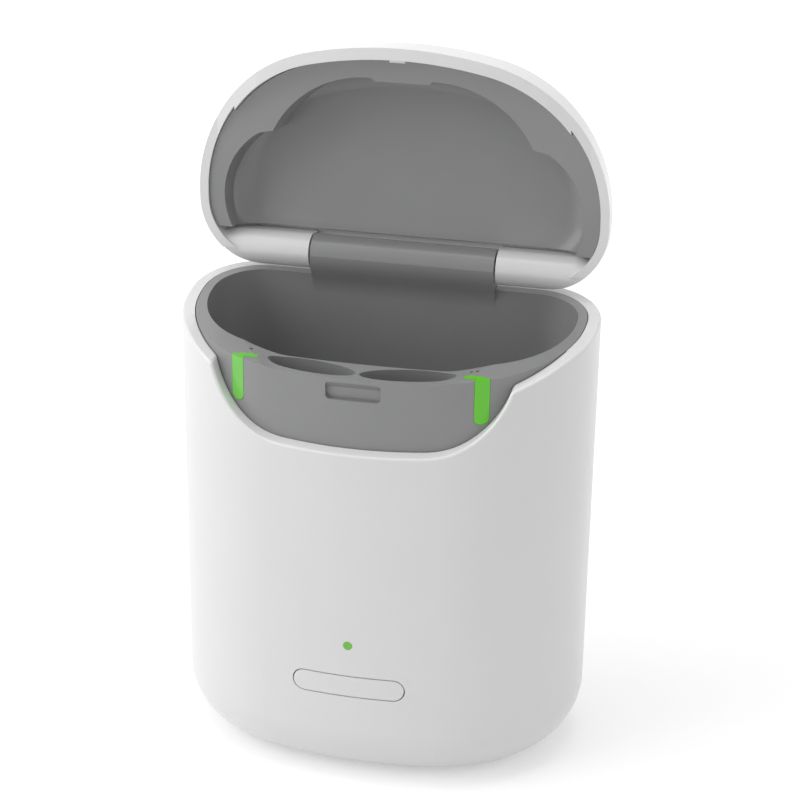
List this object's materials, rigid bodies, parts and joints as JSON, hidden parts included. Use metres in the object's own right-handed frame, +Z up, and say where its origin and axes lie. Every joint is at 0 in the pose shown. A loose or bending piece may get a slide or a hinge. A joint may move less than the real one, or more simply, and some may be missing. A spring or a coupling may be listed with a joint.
{
  "type": "hearing aid charger",
  "caption": "D-shaped pocket charger for a pair of hearing aids: white case with a finger scoop, grey insert with bays and a well, hinged lid, flush button and green lights.",
  "frame": {"origin": "middle of the base, on the line where the case is widest, on the surface it stands on", "axes": "+X to the right seen from the front, +Y to the back and the inlet, +Z up; the lid is open at rest"},
  "size_m": [0.07, 0.0453, 0.119],
  "materials": {
    "white_shell": "satin",
    "grey_moulding": "satin",
    "green_light_pipe": "polished, lit",
    "steel": "plated",
    "cell_foil": "matte foil",
    "tape": "adhesive film",
    "contact_brass": "gold plated",
    "circuit_board": "solder mask",
    "led_package": "moulded",
    "black_moulding": "moulded",
    "connector_white": "moulded",
    "flex_film": "polyimide film",
    "lead_red": "insulated",
    "pad_rubber": "matte"
  },
  "bodies": {
    "base": {"outer_shell": "white_shell", "charging_insert": "grey_moulding", "left_light_pipe": "green_light_pipe", "right_light_pipe": "green_light_pipe", "status_lens": "green_light_pipe", "hinge_pins": "steel", "base_screws": "steel", "frame_screws": "steel", "button_board_screws": "steel", "main_board_screws": "steel", "contact_board_screws": "steel", "usb_socket": "steel", "tact_switch": "steel", "battery_cell": "cell_foil", "battery_tape": "tape", "contact_barrels": "contact_brass", "contact_board": "circuit_board", "button_board": "circuit_board", "main_board": "circuit_board", "charge_leds": "led_package", "status_led": "led_package", "inner_frame": "black_moulding", "usb_tongue": "black_moulding", "board_header": "black_moulding", "main_board_chips": "black_moulding", "battery_connector": "connector_white", "flex_connectors": "connector_white", "flex_cable": "flex_film", "battery_leads": "lead_red", "base_pad": "pad_rubber"},
    "lid": {"lid_shell": "white_shell", "lid_liner": "grey_moulding"},
    "button": {"button_cap": "white_shell", "switch_plunger": "black_moulding"},
    "left_contacts": {"left_contact_plungers": "contact_brass"},
    "right_contacts": {"right_contact_plungers": "contact_brass"}
  },
  "joints": [
    {"name": "lid_hinge", "type": "hinge", "parent": "base", "child": "lid", "pos_m": [0, 0.0098, 0.0813], "axis": [1, 0, 0], "range_deg": [0, 97]},
    {"name": "button_slide", "type": "slide", "parent": "base", "child": "button", "axis": [0, 1, 0], "range_m": [0, 0.00035], "stiffness_N_per_m": 3000, "springref_m": -0.0003},
    {"name": "left_contact_slide", "type": "slide", "parent": "base", "child": "left_contacts", "axis": [0, 0, -1], "range_m": [0, 0.0008], "stiffness_N_per_m": 400, "springref_m": -0.0008},
    {"name": "right_contact_slide", "type": "slide", "parent": "base", "child": "right_contacts", "axis": [0, 0, -1], "range_m": [0, 0.0008], "stiffness_N_per_m": 400, "springref_m": -0.0008}
  ]
}
